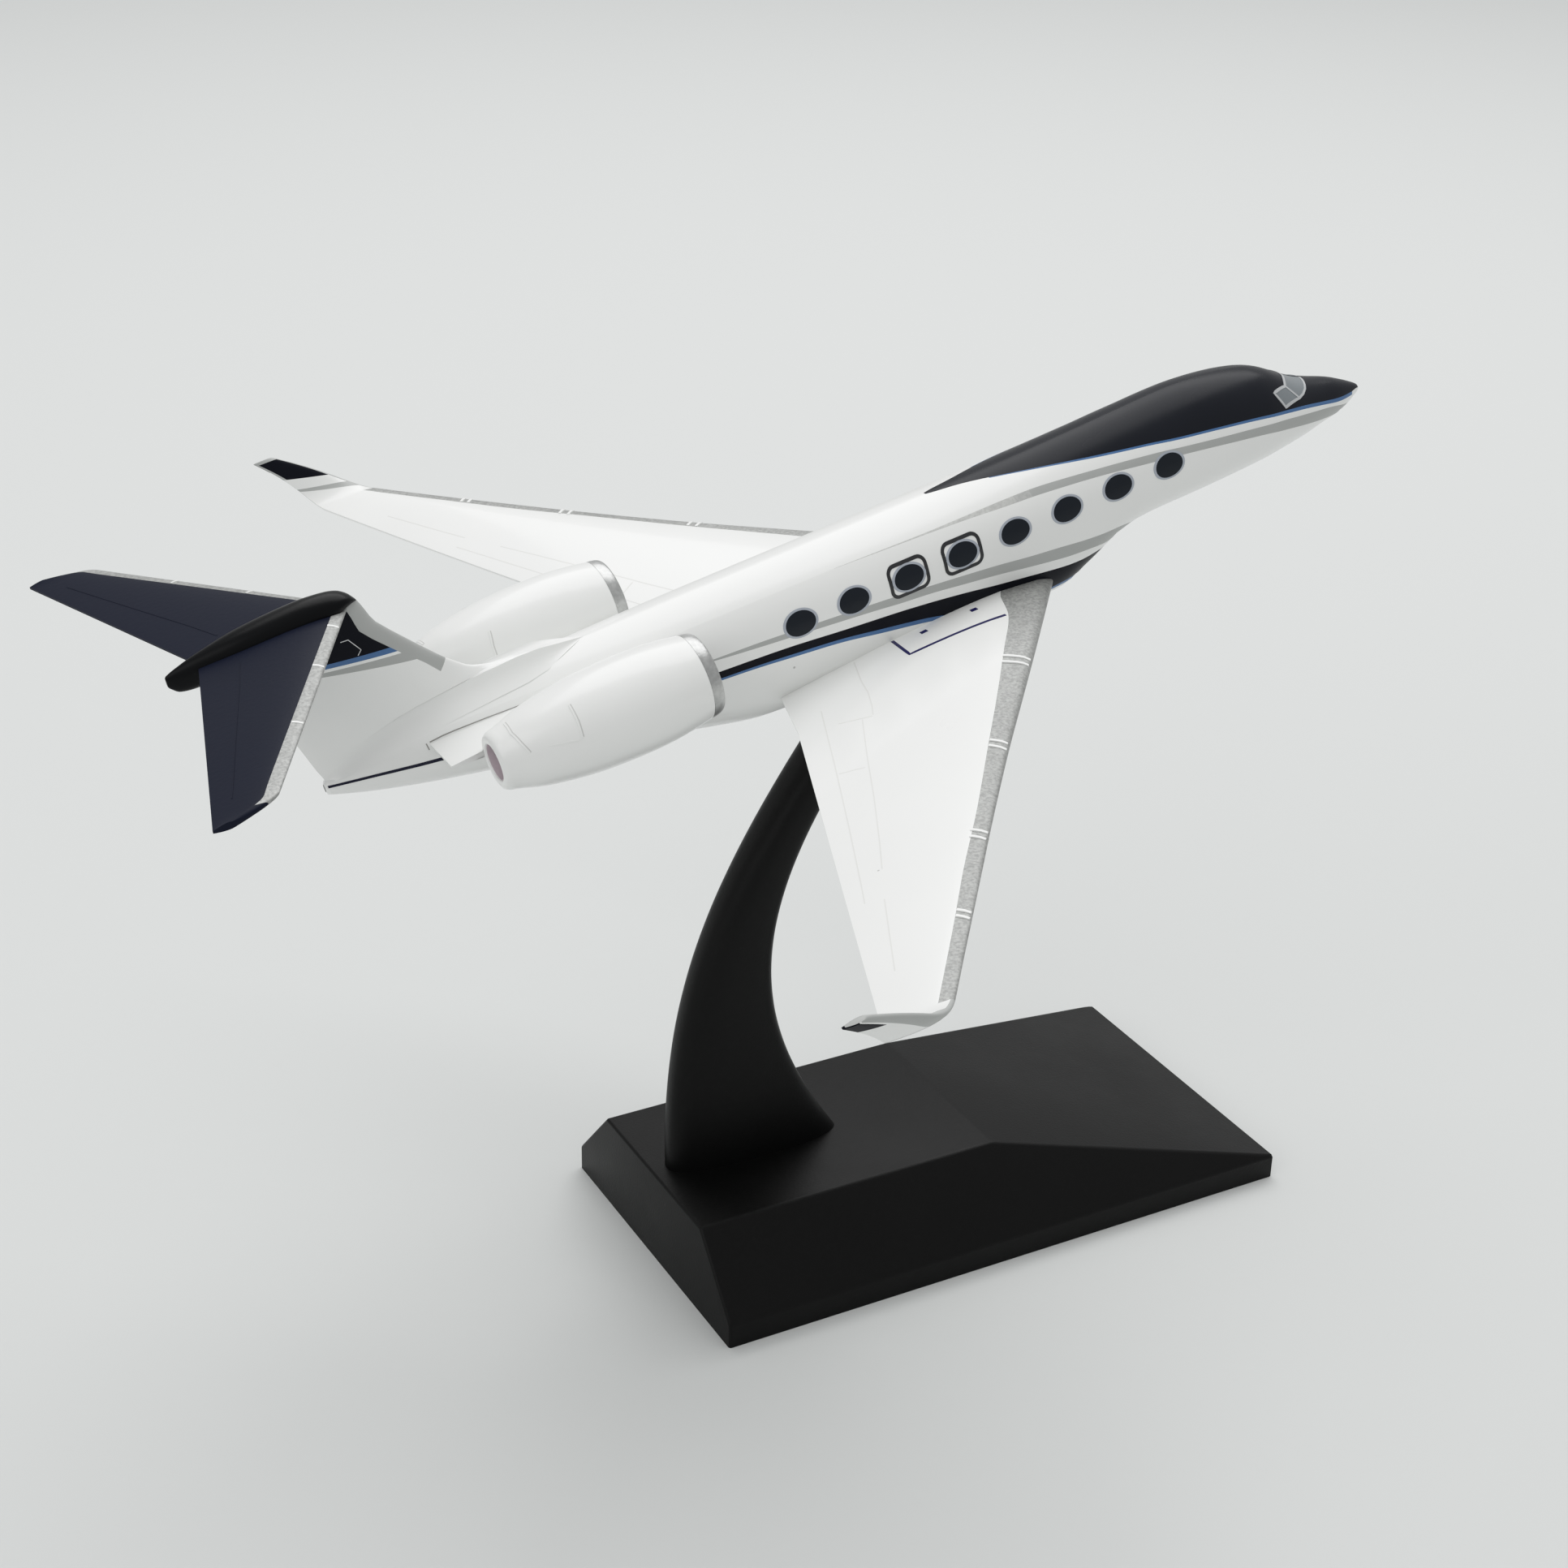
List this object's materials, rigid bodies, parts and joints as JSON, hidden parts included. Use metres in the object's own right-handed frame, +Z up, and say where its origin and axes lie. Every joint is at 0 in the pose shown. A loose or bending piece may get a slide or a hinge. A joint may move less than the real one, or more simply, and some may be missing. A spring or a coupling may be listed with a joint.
{
  "type": "model business jet",
  "caption": "Desk model of a business jet with rear engine pods, curled winglets and a T-tail, lifting off a curved arm on a sloping black base.",
  "frame": {"origin": "centre of the stand's resting face", "axes": "+X towards the jet's nose, +Y towards the jet's left wing, +Z up"},
  "size_m": [0.1534, 0.1532, 0.1016],
  "materials": {
    "white_gloss": "gloss",
    "navy_gloss": "gloss",
    "silver_paint": "satin metallic paint",
    "grey_plastic": "satin",
    "exhaust_grey": "matt",
    "black_plastic": "satin",
    "screw_steel": "zinc plated",
    "foam": "matt closed-cell foam"
  },
  "bodies": {
    "stand": {"stand_base": "black_plastic", "stand_arm": "black_plastic", "arm_screws": "screw_steel", "base_pad": "foam"},
    "jet": {"fuselage_left_half": "white_gloss", "fuselage_right_half": "white_gloss", "wing_left": "white_gloss", "wing_right": "white_gloss", "nacelle_left": "white_gloss", "nacelle_right": "white_gloss", "pylon_left": "white_gloss", "pylon_right": "white_gloss", "intake_lip_left": "silver_paint", "intake_lip_right": "silver_paint", "fan_left": "grey_plastic", "fan_right": "grey_plastic", "exhaust_liner_left": "exhaust_grey", "exhaust_liner_right": "exhaust_grey", "tail_bullet": "navy_gloss", "stabiliser_left": "navy_gloss", "stabiliser_right": "navy_gloss", "stand_socket": "black_plastic"}
  },
  "joints": [
    {"name": "jet lift-off", "type": "slide", "parent": "stand", "child": "jet", "axis": [-0.2215, 0, 0.9751], "range_m": [0, 0.03]}
  ]
}
